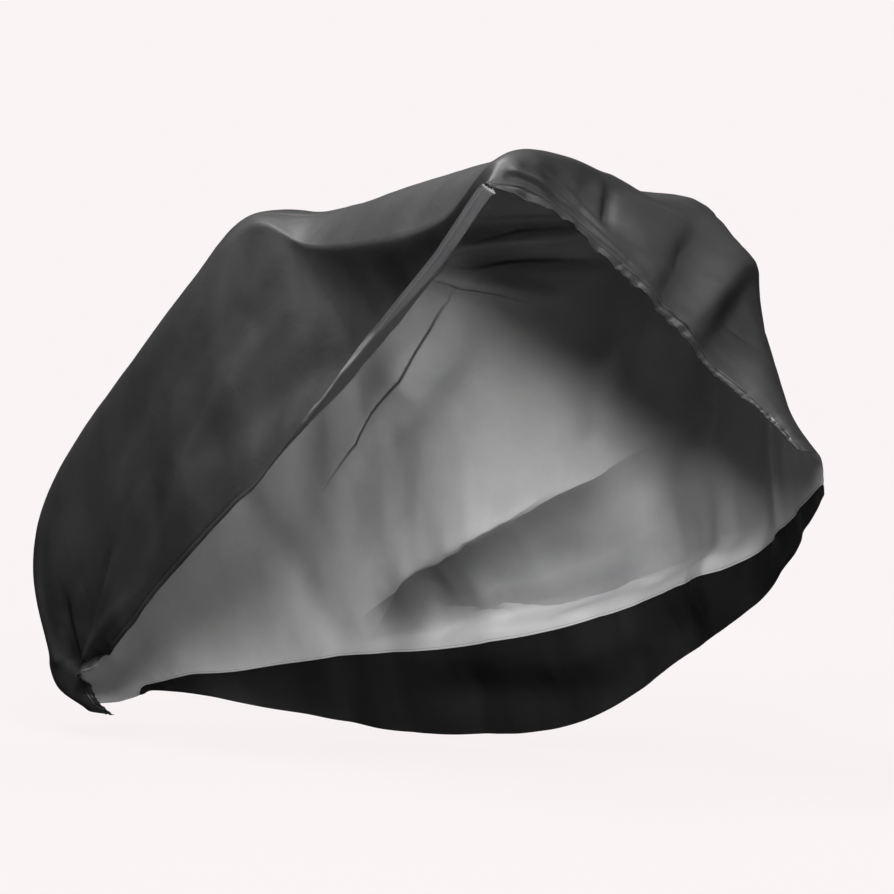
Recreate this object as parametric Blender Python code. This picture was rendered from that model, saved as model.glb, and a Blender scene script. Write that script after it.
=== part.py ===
"""Bicycle cover: two long side panels of thin coated cloth, sewn along the top, and a skirt below the far one.

The cover hangs as if over a bicycle that points along +X. The near side (-Y) is lifted: its hem rises in a
straight line from the rear wheel to the end of the handlebar, and from there runs down, gathered on
elastic, to the front wheel. The far side (+Y) hangs to the ground. The cloth is hollow underneath and has
no hard pieces. Metres, +Z up.
"""

import bpy
import numpy as np

# Cloth
CLOTH = 0.0016          # thickness of the coated cloth with its seams pressed flat
SEAM_GAP = 0.0003       # space between two pieces of cloth at a seam
# How finely the cloth is divided
ROWS_PER_SECTION = 3    # rows of faces from one section to the next
HEM_COLUMNS = 5         # strip along the near hem
NEAR_COLUMNS = 6        # from that strip up to the near shoulder
TOP_COLUMNS = 5         # from a shoulder to the ridge seam
FAR_COLUMNS = 9         # from the far shoulder down to the skirt seam
SKIRT_COLUMNS = 3       # from the skirt seam down to the far hem
# Rounding of the cloth where it is carried, as the length of the curve on each side
ROUND_ALONG = 0.12      # from section to section
GRIP = 12               # but at this one, the end of the handlebar, the near lines turn a sharper corner
ROUND_AT_GRIP = (0.030, 0.060, 0.120, 0.120, 0.120)
ROUND_ACROSS = (0.0, 0.055, 0.090, 0.040, 0.0)     # at the near hem, shoulder, crest, far shoulder and far hem
FINE_STEPS = 40         # points on a line before its rows are spaced out
FOLD_STEPS = 12         # straight pieces in the route of a fold
MOST_HEM = 0.4          # share of the cloth below the near shoulder that the hem's strip may take up

# The sections, from the hem under the rear wheel to the hem over the front wheel. Each is where the cloth lies
# along five lines: the near hem, the near shoulder, the crest, the far shoulder and the far hem. Then come the
# height of the skirt up from the far hem, and how far to the side the ridge seam crosses the top. X runs from
# the rear axle, Y from the middle of the bicycle and Z from the ground.
SECTIONS = (
    # near hem               near shoulder            crest                   far shoulder            far hem
    ((-0.140, -0.040, 0.047), (-0.200, -0.045, 0.052), (-0.235, 0.000, 0.058), (-0.200, 0.045, 0.062),
     (-0.155, 0.060, 0.082), 0.012, 0.000),   # hem under the rear wheel
    ((-0.178, -0.052, 0.090), (-0.262, -0.058, 0.094), (-0.300, 0.000, 0.100), (-0.262, 0.060, 0.105),
     (-0.160, 0.085, 0.083), 0.018, 0.000),
    ((-0.172, -0.060, 0.128), (-0.285, -0.065, 0.170), (-0.330, 0.000, 0.175), (-0.290, 0.065, 0.180),
     (-0.125, 0.110, 0.080), 0.032, 0.000),
    ((-0.112, -0.085, 0.164), (-0.312, -0.070, 0.295), (-0.362, 0.000, 0.300), (-0.315, 0.070, 0.300),
     (-0.055, 0.140, 0.072), 0.060, 0.000),   # level with the rear axle
    ((-0.019, -0.115, 0.230), (-0.288, -0.075, 0.405), (-0.345, 0.000, 0.415), (-0.300, 0.075, 0.410),
     (0.027, 0.195, 0.052), 0.090, 0.000),
    ((0.085, -0.140, 0.317), (-0.203, -0.080, 0.535), (-0.261, 0.000, 0.546), (-0.224, 0.080, 0.543),
     (0.125, 0.240, 0.038), 0.120, 0.000),
    ((0.205, -0.162, 0.410), (-0.060, -0.085, 0.690), (-0.111, 0.000, 0.694), (-0.083, 0.085, 0.691),
     (0.240, 0.265, 0.022), 0.150, -0.010),
    ((0.323, -0.195, 0.495), (0.098, -0.085, 0.846), (0.046, 0.000, 0.864), (0.075, 0.085, 0.855),
     (0.350, 0.285, 0.016), 0.165, -0.030),
    ((0.445, -0.212, 0.594), (0.226, -0.078, 0.952), (0.170, 0.000, 0.971), (0.205, 0.080, 0.955),
     (0.445, 0.295, 0.020), 0.170, -0.052),    # back of the saddle
    ((0.557, -0.232, 0.694), (0.365, -0.095, 0.912), (0.335, -0.010, 0.974), (0.340, 0.080, 0.955),
     (0.560, 0.300, 0.030), 0.182, -0.022),    # front of the saddle
    ((0.661, -0.258, 0.780), (0.535, -0.155, 0.908), (0.550, -0.080, 1.001), (0.550, 0.160, 0.962),
     (0.640, 0.300, 0.045), 0.180, 0.000),
    ((0.803, -0.302, 0.886), (0.765, -0.240, 0.938), (0.790, -0.165, 1.030), (0.750, 0.270, 0.972),
     (0.730, 0.300, 0.078), 0.174, 0.000),
    ((0.926, -0.345, 0.987), (0.935, -0.300, 1.030), (0.930, -0.200, 1.048), (0.905, 0.345, 0.985),
     (0.830, 0.300, 0.137), 0.150, 0.000),    # handlebar
    ((1.000, -0.262, 0.930), (0.990, -0.190, 0.975), (0.985, -0.050, 0.990), (0.985, 0.300, 0.945),
     (0.915, 0.292, 0.193), 0.125, 0.000),
    ((1.060, -0.200, 0.862), (1.060, -0.120, 0.895), (1.065, 0.010, 0.905), (1.055, 0.250, 0.892),
     (1.010, 0.265, 0.245), 0.100, 0.000),
    ((1.120, -0.135, 0.785), (1.125, -0.070, 0.812), (1.130, 0.040, 0.835), (1.110, 0.200, 0.841),
     (1.090, 0.245, 0.296), 0.085, 0.015),
    ((1.170, -0.085, 0.705), (1.180, -0.030, 0.735), (1.190, 0.045, 0.758), (1.155, 0.150, 0.772),
     (1.150, 0.215, 0.345), 0.070, 0.025),
    ((1.222, -0.050, 0.648), (1.230, -0.010, 0.668), (1.228, 0.040, 0.688), (1.200, 0.100, 0.705),
     (1.200, 0.170, 0.390), 0.055, 0.030),
    ((1.268, -0.035, 0.608), (1.276, -0.015, 0.618), (1.274, 0.015, 0.622), (1.255, 0.060, 0.615),
     (1.260, 0.110, 0.440), 0.035, 0.012),
    ((1.315, -0.030, 0.565), (1.326, -0.015, 0.562), (1.333, 0.010, 0.556), (1.328, 0.035, 0.530),
     (1.320, 0.055, 0.490), 0.020, 0.006),    # hem over the front wheel
)

# The hem along the near side. It lies flat beside the rear wheel, rolls outwards past the saddle to show its
# inner face as a cuff, and is gathered into long pleats from the handlebar to the front wheel.
PLEAT_HEIGHT = 0.0070
LEAST_ANGLE = 1e-4      # radians, in place of 0 where the hem lies flat
PLEATS = (1.0, -0.6, 1.0, -0.8, 0.7, 0.0)     # their heights from the free edge inwards, as shares of that
HEM_FINISH = (
    # section, roll from 0 (flat) to 1 (folded right over), cloth in the roll, flat part, share of the pleats
    (0.0, 0.0, 0.010, 0.012, 0.35),
    (2.0, 0.0, 0.010, 0.012, 0.25),
    (3.0, 0.0, 0.010, 0.012, 0.00),
    (7.6, 0.0, 0.008, 0.004, 0.00),
    (8.6, 1.0, 0.008, 0.004, 0.00),
    (10.0, 1.0, 0.011, 0.012, 0.00),
    (11.0, 1.0, 0.014, 0.022, 0.00),
    (11.6, 1.0, 0.015, 0.025, 0.00),
    (12.0, 0.5, 0.015, 0.025, 0.00),
    (12.7, 0.0, 0.015, 0.045, 0.80),
    (13.3, 0.0, 0.015, 0.050, 1.00),
    (17.0, 0.0, 0.010, 0.020, 0.60),
    (19.0, 0.0, 0.008, 0.012, 0.30),
)


def unit(vectors):
    """The same vectors, one metre long."""
    return vectors / np.linalg.norm(vectors, axis=-1, keepdims=True)


def rounded_span(points, k, rounding, steps):
    """Points from control point k to the next: straight in the middle, and rounded at both ends."""
    start, end = points[k], points[k + 1]
    length = np.linalg.norm(end - start)
    ahead = unit(end - start)
    before = unit(start - points[k - 1]) if k > 0 else ahead
    after = unit(points[k + 2] - end) if k + 2 < len(points) else ahead
    leave = start + unit(before + ahead) * min(rounding[k], length / 3)
    arrive = end - unit(ahead + after) * min(rounding[k + 1], length / 3)
    t = np.linspace(0, 1, steps + 1)[:, None]
    return (1 - t) ** 3 * start + 3 * t * (1 - t) ** 2 * leave + 3 * t ** 2 * (1 - t) * arrive + t ** 3 * end


def rounded_line(points, rounding, steps):
    """A line through all the points, with its own number of steps in each span."""
    spans = [rounded_span(points, k, rounding, steps[k])[1:] for k in range(len(points) - 1)]
    return np.concatenate([points[:1]] + spans)


def travelled(line):
    """How far along a line each of its points is."""
    return np.concatenate([[0], np.cumsum(np.linalg.norm(np.diff(line, axis=0), axis=1))])


def spaced(line, start, end, steps):
    """Points at even distances along a line, after start and up to end."""
    distances = np.linspace(start, end, steps + 1)[1:]
    return np.stack([np.interp(distances, travelled(line), line[:, axis]) for axis in range(3)], axis=1)


def hem_at(station):
    """The hem's roll, the cloth in the roll, its flat part and its share of the pleats, at a section."""
    sections = [row[0] for row in HEM_FINISH]
    return [np.interp(station, sections, [row[k] for row in HEM_FINISH]) for k in range(1, 5)]


def section_row(control, hem, skirt, seam_side):
    """One row of cloth across the cover, from the near hem over its five lines to the far hem."""
    near = rounded_span(control, 0, ROUND_ACROSS, FINE_STEPS)
    top = np.concatenate([rounded_span(control, 1, ROUND_ACROSS, FINE_STEPS),
                          rounded_span(control, 2, ROUND_ACROSS, FINE_STEPS)[1:]])
    far = rounded_span(control, 3, ROUND_ACROSS, FINE_STEPS)
    near_end, top_end, far_end = travelled(near)[-1], travelled(top)[-1], travelled(far)[-1]
    strip = min(hem, MOST_HEM * near_end)
    ridge_seam = np.interp(seam_side, top[:, 1], travelled(top))
    skirt_seam = far_end - skirt
    return np.concatenate([
        near[:1],
        spaced(near, 0, strip, HEM_COLUMNS),
        spaced(near, strip, near_end, NEAR_COLUMNS),
        spaced(top, 0, ridge_seam, TOP_COLUMNS),
        spaced(top, ridge_seam, top_end, TOP_COLUMNS),
        spaced(far, 0, skirt_seam, FAR_COLUMNS),
        spaced(far, skirt_seam, far_end, SKIRT_COLUMNS),
    ])


def smooth_cover(rows_per_section):
    """The cover without its folds: the section number of each row, and a grid of points by row and column."""
    steps = [rows_per_section] * (len(SECTIONS) - 1)
    lines = []
    for k, at_grip in enumerate(ROUND_AT_GRIP):
        rounding = [at_grip if i == GRIP else ROUND_ALONG for i in range(len(SECTIONS))]
        lines.append(rounded_line(np.array([s[k] for s in SECTIONS]), rounding, steps))
    station = np.linspace(0, len(SECTIONS) - 1, len(lines[0]))
    skirt = np.interp(station, range(len(SECTIONS)), [s[5] for s in SECTIONS])
    seam_side = np.interp(station, range(len(SECTIONS)), [s[6] for s in SECTIONS])
    rows = []
    for i, here in enumerate(station):
        roll, bend, flat, share = hem_at(here)
        control = np.array([line[i] for line in lines])
        rows.append(section_row(control, bend + flat, skirt[i], seam_side[i]))
    return station, np.array(rows)


def outward(grid):
    """The direction that faces out of the cover at each point of the grid."""
    along = np.gradient(grid, axis=0)
    across = np.gradient(grid, axis=1)
    return unit(np.cross(along, across))


# The main folds. Each runs through three places on the cover, given by section and by line across: -2 at the
# near hem, -1 at the near shoulder, 0 at the ridge seam, 1 at the far shoulder, 2 at the skirt seam and 3 at the
# far hem. Then come its width and its height at those places, outwards if above 0. A crease has a sharp bottom.
SOFT, CREASE = 0, 1
FOLDS = (
    # start          middle          end             width   heights at the three     kind
    # near side: the hollow under the line from saddle to handlebar, and the swell along the hem
    ((11.2, -1.25), (9.0, -1.42), (6.9, -1.45), 0.045, (-0.012, -0.036, -0.006), SOFT),
    ((11.3, -1.75), (8.8, -1.78), (6.0, -1.70), 0.035, (0.002, 0.012, 0.004), SOFT),
    # near side: long folds that fall from the saddle to the rear wheel
    ((8.0, -1.06), (6.5, -1.38), (3.4, -1.65), 0.034, (0.002, 0.012, 0.004), SOFT),
    ((7.4, -1.02), (5.6, -1.12), (3.2, -1.35), 0.030, (-0.002, -0.009, -0.004), SOFT),
    ((6.4, -0.95), (4.6, -1.05), (2.8, -1.20), 0.028, (0.000, 0.008, 0.003), SOFT),
    # near side: pleats drawn together at the elastic behind the rear wheel
    ((2.0, -1.55), (3.0, -1.45), (4.6, -1.52), 0.014, (0.010, 0.007, 0.000), SOFT),
    ((2.0, -1.35), (2.9, -1.22), (4.2, -1.28), 0.014, (-0.008, -0.006, 0.000), SOFT),
    ((1.8, -1.15), (2.8, -1.02), (3.8, -1.02), 0.014, (0.009, 0.006, 0.000), SOFT),
    ((1.8, -0.70), (2.8, -0.65), (3.8, -0.60), 0.014, (-0.008, -0.006, 0.000), SOFT),
    ((1.8, 0.90), (3.0, 1.05), (4.4, 1.15), 0.016, (0.009, 0.007, 0.000), SOFT),
    ((1.8, 1.30), (3.0, 1.35), (4.6, 1.45), 0.018, (-0.008, -0.008, 0.000), SOFT),
    # saddle: a dip in the ridge where the cloth bridges from the saddle to the handlebar
    ((8.6, -0.10), (9.4, -0.40), (10.6, -0.60), 0.050, (0.000, -0.006, 0.000), SOFT),
    # front: the sag between the handlebar's middle and its far end, and the folds that fan out from that end
    ((12.0, 0.00), (12.1, 0.40), (12.2, 0.85), 0.100, (-0.014, -0.035, -0.008), SOFT),
    ((12.8, -0.30), (13.3, -0.90), (13.8, -1.55), 0.024, (-0.014, -0.022, -0.010), SOFT),
    ((12.6, -0.90), (12.9, -1.30), (13.3, -1.70), 0.026, (0.006, 0.014, 0.008), SOFT),
    ((13.2, 0.70), (14.3, -0.15), (14.85, -1.60), 0.030, (-0.004, -0.018, -0.012), CREASE),
    ((14.2, 0.80), (14.9, -0.10), (15.25, -1.50), 0.034, (0.002, 0.014, 0.008), SOFT),
    ((15.1, 0.90), (15.5, -0.35), (15.7, -1.65), 0.030, (-0.006, -0.020, -0.012), SOFT),
    ((16.2, 0.80), (16.6, -0.10), (16.9, -1.50), 0.028, (0.002, 0.010, 0.006), SOFT),
    # far side: the crease that runs down from the top, and the fold that rises above the skirt
    ((9.7, 1.15), (8.5, 1.44), (6.8, 1.58), 0.022, (-0.004, -0.010, -0.004), CREASE),
    ((10.6, 1.62), (9.2, 1.78), (7.4, 1.88), 0.030, (-0.018, -0.018, -0.004), SOFT),
    ((13.2, 1.72), (11.9, 1.88), (10.2, 1.93), 0.030, (-0.004, -0.014, -0.008), SOFT),
    ((9.3, 1.10), (10.1, 1.07), (11.2, 1.10), 0.016, (-0.004, -0.014, -0.004), SOFT),
    ((9.2, 1.15), (9.8, 1.15), (10.6, 1.20), 0.016, (0.002, 0.012, 0.000), SOFT),
    ((9.0, 1.20), (9.7, 1.22), (10.4, 1.26), 0.018, (-0.002, -0.010, 0.000), SOFT),
    # far side: broad upright folds of the hanging cloth
    ((12.2, 1.05), (11.9, 1.45), (11.6, 2.00), 0.050, (0.004, 0.016, 0.004), SOFT),
    ((11.3, 1.10), (11.0, 1.45), (10.6, 1.75), 0.045, (-0.002, -0.014, -0.004), SOFT),
    ((13.4, 1.05), (13.6, 1.50), (13.4, 2.40), 0.040, (-0.004, -0.020, -0.008), SOFT),
    ((14.6, 1.10), (14.9, 1.60), (14.8, 2.60), 0.034, (0.004, 0.016, 0.008), SOFT),
    ((16.0, 1.20), (16.2, 1.70), (16.0, 2.70), 0.030, (-0.004, -0.014, -0.008), SOFT),
    ((5.6, 1.15), (6.0, 1.55), (6.2, 2.20), 0.040, (0.002, 0.012, 0.006), SOFT),
    # skirt: low waves along the far hem
    ((7.0, 2.50), (8.3, 2.45), (9.8, 2.60), 0.040, (0.002, 0.014, 0.006), SOFT),
    ((9.6, 2.35), (10.8, 2.50), (12.0, 2.30), 0.036, (-0.004, -0.014, -0.004), SOFT),
    ((12.0, 2.60), (12.6, 2.40), (13.4, 2.60), 0.034, (0.004, 0.012, 0.004), SOFT),
)

NEAR_SHOULDER = HEM_COLUMNS + NEAR_COLUMNS
RIDGE = NEAR_SHOULDER + TOP_COLUMNS
FAR_SHOULDER = RIDGE + TOP_COLUMNS
SKIRT_SEAM = FAR_SHOULDER + FAR_COLUMNS
FAR_HEM = SKIRT_SEAM + SKIRT_COLUMNS
LINES = (-2, -1, 0, 1, 2, 3)
LINE_COLUMNS = (0, NEAR_SHOULDER, RIDGE, FAR_SHOULDER, SKIRT_SEAM, FAR_HEM)


def place_on(grid, station, place):
    """The point of the grid at a section and a line across."""
    row = np.interp(place[0], station, range(len(station)))
    column = np.interp(place[1], LINES, LINE_COLUMNS)
    i, j = min(int(row), grid.shape[0] - 2), min(int(column), grid.shape[1] - 2)
    a, b = row - i, column - j
    near_row = grid[i, j] * (1 - b) + grid[i, j + 1] * b
    next_row = grid[i + 1, j] * (1 - b) + grid[i + 1, j + 1] * b
    return near_row * (1 - a) + next_row * a


def fold_height(grid, station, fold):
    """How far a fold moves each point of the grid outwards."""
    start, middle, end, width, heights, kind = fold
    route = []
    for t in np.linspace(0, 1, FOLD_STEPS + 1):
        early = np.array(start) * (1 - t) + np.array(middle) * t
        late = np.array(middle) * (1 - t) + np.array(end) * t
        route.append(place_on(grid, station, early * (1 - t) + late * t))
    nearest = np.full(grid.shape[:2], np.inf)
    height = np.zeros(grid.shape[:2])
    for k in range(FOLD_STEPS):
        step = route[k + 1] - route[k]
        along = np.clip(((grid - route[k]) @ step) / (step @ step), 0, 1)
        distance = np.linalg.norm(grid - route[k] - along[..., None] * step, axis=-1)
        t = (k + along) / FOLD_STEPS
        here = np.interp(t, (0, 0.5, 1), heights)
        height = np.where(distance < nearest, here, height)
        nearest = np.minimum(nearest, distance)
    if kind == CREASE:
        return height * np.exp(-nearest / width)
    return height * np.exp(-(nearest / width) ** 2)


def folded_cover(grid, station, folds):
    """The grid with its folds."""
    facing = outward(grid)
    height = sum(fold_height(grid, station, fold) for fold in folds)
    return grid + facing * height[..., None]


def rolled_hem(roll, bend, flat):
    """The strip along the hem, from its free edge inwards: how far up the cloth, and how far outwards."""
    angle = max(roll * np.pi, LEAST_ANGLE)
    radius = bend / angle
    fold = radius * np.sin(angle) + flat * np.cos(angle)
    profile = []
    for reach in (flat, flat / 2):
        rise = fold - radius * np.sin(angle) - reach * np.cos(angle)
        profile.append((rise, radius * (1 - np.cos(angle)) + reach * np.sin(angle)))
    for part in (1.0, 2 / 3, 1 / 3, 0.0):
        profile.append((fold - radius * np.sin(angle * part), radius * (1 - np.cos(angle * part))))
    return profile


def finish_hem(grid, station):
    """The grid with its near hem rolled and gathered."""
    grid = grid.copy()
    facing = outward(grid)
    for i, here in enumerate(station):
        roll, bend, flat, share = hem_at(here)
        hem = grid[i, 0].copy()
        up = grid[i, HEM_COLUMNS] - hem
        scale = np.linalg.norm(up) / (bend + flat)
        for j, (rise, height) in enumerate(rolled_hem(roll, bend, flat)):
            pleat = share * PLEAT_HEIGHT * PLEATS[j]
            grid[i, j] = hem + unit(up) * rise * scale + facing[i, HEM_COLUMNS] * (height + pleat) * scale
    return grid


def sheet(name, grid, facing, first, last, colour, roughness, where):
    """One piece of cloth: the columns from first to last of the grid, as a solid of the cloth's thickness."""
    points = grid[:, first:last + 1].copy()
    normals = facing[:, first:last + 1]
    if first > 0:
        points[:, 0] += unit(points[:, 1] - points[:, 0]) * SEAM_GAP / 2
    if last < grid.shape[1] - 1:
        points[:, -1] += unit(points[:, -2] - points[:, -1]) * SEAM_GAP / 2
    outer = (points + normals * CLOTH / 2).reshape(-1, 3)
    inner = (points - normals * CLOTH / 2).reshape(-1, 3)
    rows, columns = points.shape[:2]
    under = rows * columns
    faces = []
    for i in range(rows - 1):
        for j in range(columns - 1):
            a, b = i * columns + j, i * columns + j + 1
            c, d = a + columns, b + columns
            short = np.linalg.norm(outer[a] - outer[d]) < np.linalg.norm(outer[b] - outer[c])
            halves = ((a, c, d), (a, d, b)) if short else ((a, c, b), (b, c, d))
            for half in halves:
                faces.append(half)
                faces.append(tuple(corner + under for corner in reversed(half)))
    edge = [i * columns for i in range(rows)]
    edge += [(rows - 1) * columns + j for j in range(1, columns)]
    edge += [i * columns + columns - 1 for i in reversed(range(rows - 1))]
    edge += [j for j in reversed(range(1, columns - 1))]
    for a, b in zip(edge, edge[1:] + edge[:1]):
        # both pieces at a seam split their edges the same way, from the lower row outside to the next inside
        if a < b:
            faces.append((b, a, b + under))
            faces.append((a, a + under, b + under))
        else:
            faces.append((b, a, a + under))
            faces.append((b, a + under, b + under))
    mesh = bpy.data.meshes.new(name)
    mesh.from_pydata(np.concatenate([outer, inner]).tolist(), [], faces)
    mesh.shade_smooth()
    cloth = bpy.data.objects.new(name, mesh)
    cloth.data.materials.append(coated_cloth(name, colour, roughness))
    cloth.location = where
    return cloth


def coated_cloth(name, colour, roughness):
    """A plain material with the colour and gloss of the cloth."""
    material = bpy.data.materials.new(name + "_cloth")
    material.use_nodes = True
    shader = material.node_tree.nodes["Principled BSDF"]
    shader.inputs["Base Color"].default_value = (*colour, 1.0)
    shader.inputs["Roughness"].default_value = roughness
    shader.inputs["Metallic"].default_value = 0.0
    return material


def bicycle_cover():
    """All pieces of the cover, with the origin on the ground below the middle of its length and width."""
    station, smooth = smooth_cover(ROWS_PER_SECTION)
    grid = finish_hem(folded_cover(smooth, station, FOLDS), station)
    facing = outward(grid)
    skins = np.stack([grid + facing * CLOTH / 2, grid - facing * CLOTH / 2])
    low, high = skins.min(axis=(0, 1, 2)), skins.max(axis=(0, 1, 2))
    where = (-(low[0] + high[0]) / 2, -(low[1] + high[1]) / 2, -low[2])
    black = (0.016, 0.016, 0.017)
    return (
        sheet("near_panel", grid, facing, 0, RIDGE, black, 0.45, where),
        sheet("far_panel", grid, facing, RIDGE, SKIRT_SEAM, black, 0.45, where),
        sheet("far_skirt", grid, facing, SKIRT_SEAM, FAR_HEM, black, 0.60, where),
    )


def main():
    for thing in list(bpy.data.objects):
        bpy.data.objects.remove(thing)
    cover = bpy.data.collections.new("bicycle_cover")
    bpy.context.scene.collection.children.link(cover)
    for piece in bicycle_cover():
        cover.objects.link(piece)


main()
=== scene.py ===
# %% [markdown]
# # A bicycle cover, hung over a bicycle that isn't there
#
# The real thing is three pieces of thin coated polyester: two long side panels, black outside and silver
# inside, sewn together along the top, and a plain black skirt below the far panel. It is thrown over a
# bicycle and lifted on the near side, so its hem slants up from the rear wheel to the handlebar and runs
# down again, gathered on elastic, to the front wheel.
#
# Cloth like this could be made by letting a flat sheet fall on a model of a bicycle. But the folds would
# land where the simulation likes. Here each panel is a grid of points instead, laid through a short table
# of sections, and its folds are placed from a second table. The imported model is loaded first, as
# the frame for it all.

# %% The frame and its box
import math

import bpy
import numpy as np

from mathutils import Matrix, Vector
from mathutils.bvhtree import BVHTree


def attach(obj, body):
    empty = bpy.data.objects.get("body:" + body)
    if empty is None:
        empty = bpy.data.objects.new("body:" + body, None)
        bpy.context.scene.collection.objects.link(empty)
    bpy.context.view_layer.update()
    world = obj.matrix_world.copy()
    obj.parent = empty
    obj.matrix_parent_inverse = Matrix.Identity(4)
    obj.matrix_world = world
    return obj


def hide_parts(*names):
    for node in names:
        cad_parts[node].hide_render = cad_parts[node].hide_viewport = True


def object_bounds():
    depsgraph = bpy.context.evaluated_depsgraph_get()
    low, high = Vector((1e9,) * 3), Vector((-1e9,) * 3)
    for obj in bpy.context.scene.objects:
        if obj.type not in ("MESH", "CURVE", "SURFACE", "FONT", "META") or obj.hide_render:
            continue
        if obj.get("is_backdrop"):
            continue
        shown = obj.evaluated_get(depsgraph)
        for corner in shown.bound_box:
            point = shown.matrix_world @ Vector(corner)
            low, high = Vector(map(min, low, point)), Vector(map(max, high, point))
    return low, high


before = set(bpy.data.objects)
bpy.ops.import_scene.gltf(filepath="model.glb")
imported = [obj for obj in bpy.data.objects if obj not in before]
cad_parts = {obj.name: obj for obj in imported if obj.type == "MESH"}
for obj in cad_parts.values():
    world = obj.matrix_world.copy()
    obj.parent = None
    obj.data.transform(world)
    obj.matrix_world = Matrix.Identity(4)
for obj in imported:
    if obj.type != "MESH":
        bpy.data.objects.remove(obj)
cad_low, cad_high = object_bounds()
print("cover in the frame:", [round(high - low, 3) for low, high in zip(cad_low, cad_high)])

# %% [markdown]
# ## The camera
#
# A long lens from far away, as high as the top of a wheel and two fifths of the way round to the front. It
# looks almost level, so a floor would show its edge: the stage below is made to fade out before that.

# %% Camera
CAMERA_AZIMUTH = 36.185         # degrees to the right of square on
CAMERA_ELEVATION = 1.406
CAMERA_DISTANCE = 5.5765
CAMERA_TARGET = (0.1156, 0.0019, 0.5421)
CAMERA_LENS = 129.21            # millimetres
CAMERA_SENSOR = 36.0


def direction(azimuth, elevation):
    """The direction from the cover towards something at these angles, in degrees."""
    a, e = math.radians(azimuth), math.radians(elevation)
    return np.array([math.sin(a) * math.cos(e), -math.cos(a) * math.cos(e), math.sin(e)])


def looking(thing, place, target):
    """Puts a camera or a light at a place and turns it to its target."""
    thing.location = place
    thing.rotation_mode = "QUATERNION"
    thing.rotation_quaternion = (Vector(target) - Vector(place)).to_track_quat("-Z", "Y")


def placed(name, data):
    """A new object in the scene, with this data."""
    made = bpy.data.objects.new(name, data)
    bpy.context.scene.collection.objects.link(made)
    return made


camera = placed("camera", bpy.data.cameras.new("camera"))
camera.data.lens = CAMERA_LENS
camera.data.sensor_width = CAMERA_SENSOR
bpy.context.scene.camera = camera
to_camera = direction(CAMERA_AZIMUTH, CAMERA_ELEVATION)
looking(camera, np.array(CAMERA_TARGET) + CAMERA_DISTANCE * to_camera, CAMERA_TARGET)
print("camera at", [round(c, 3) for c in camera.location])

# %% [markdown]
# ## The sections
#
# A tailor would measure the cover at a number of places along its length. Each section says where the cloth
# lies along five lines: the near hem, the near shoulder, the crest, the far shoulder and the far hem. Three
# numbers say how many millimetres each lies ahead of the rear axle, to the far side of the bicycle's middle
# and above the ground. Then come the height of the skirt and the place of the ridge seam across the top, in
# millimetres too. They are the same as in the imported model, so the fine cloth lies on its solids.

# %% Sections
MM = 1000               # millimetres in a metre
SECTIONS = (
    # near hem, near shoulder, crest, far shoulder, far hem, height of the skirt, side of the ridge seam
    # hem under the rear wheel
    ((-140, -40, 47), (-200, -45, 52), (-235, 0, 58), (-200, 45, 62), (-155, 60, 82), 12, 0),
    ((-178, -52, 90), (-262, -58, 94), (-300, 0, 100), (-262, 60, 105), (-160, 85, 83), 18, 0),
    ((-172, -60, 128), (-285, -65, 170), (-330, 0, 175), (-290, 65, 180), (-125, 110, 80), 32, 0),
    # level with the rear axle
    ((-112, -85, 164), (-312, -70, 295), (-362, 0, 300), (-315, 70, 300), (-55, 140, 72), 60, 0),
    ((-19, -115, 230), (-288, -75, 405), (-345, 0, 415), (-300, 75, 410), (27, 195, 52), 90, 0),
    ((85, -140, 317), (-203, -80, 535), (-261, 0, 546), (-224, 80, 543), (125, 240, 38), 120, 0),
    ((205, -162, 410), (-60, -85, 690), (-111, 0, 694), (-83, 85, 691), (240, 265, 22), 150, -10),
    ((323, -195, 495), (98, -85, 846), (46, 0, 864), (75, 85, 855), (350, 285, 16), 165, -30),
    # back of the saddle
    ((445, -212, 594), (226, -78, 952), (170, 0, 971), (205, 80, 955), (445, 295, 20), 170, -52),
    # front of the saddle
    ((557, -232, 694), (365, -95, 912), (335, -10, 974), (340, 80, 955), (560, 300, 30), 182, -22),
    ((661, -258, 780), (535, -155, 908), (550, -80, 1001), (550, 160, 962), (640, 300, 45), 180, 0),
    ((803, -302, 886), (765, -240, 938), (790, -165, 1030), (750, 270, 972), (730, 300, 78), 174, 0),
    # handlebar
    ((926, -345, 987), (935, -300, 1030), (930, -200, 1048), (905, 345, 985), (830, 300, 137), 150, 0),
    ((1000, -262, 930), (990, -190, 975), (985, -50, 990), (985, 300, 945), (915, 292, 193), 125, 0),
    ((1060, -200, 862), (1060, -120, 895), (1065, 10, 905), (1055, 250, 892), (1010, 265, 245), 100, 0),
    ((1120, -135, 785), (1125, -70, 812), (1130, 40, 835), (1110, 200, 841), (1090, 245, 296), 85, 15),
    ((1170, -85, 705), (1180, -30, 735), (1190, 45, 758), (1155, 150, 772), (1150, 215, 345), 70, 25),
    ((1222, -50, 648), (1230, -10, 668), (1228, 40, 688), (1200, 100, 705), (1200, 170, 390), 55, 30),
    ((1268, -35, 608), (1276, -15, 618), (1274, 15, 622), (1255, 60, 615), (1260, 110, 440), 35, 12),
    # hem over the front wheel
    ((1315, -30, 565), (1326, -15, 562), (1333, 10, 556), (1328, 35, 530), (1320, 55, 490), 20, 6),
)
ROUND_ALONG = 0.12      # rounding of the cloth from section to section
GRIP = 12               # but at the section with the handlebar's end, each line turns its own corner
ROUND_AT_GRIP = (0.010, 0.040, 0.060, 0.120, 0.120)
ROUND_ACROSS = (0.0, 0.055, 0.090, 0.040, 0.0)      # rounding across, at each of the five lines
print(len(SECTIONS), "sections")

# %% [markdown]
# ## From sections to a grid
#
# Each line is rounded where it passes a section, like cloth over a tyre. The rows of the grid run across
# the cover from hem to hem, and the columns run along it. They lie closer together where the cloth has
# small folds: at the gathered ends, and along the seams.

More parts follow.
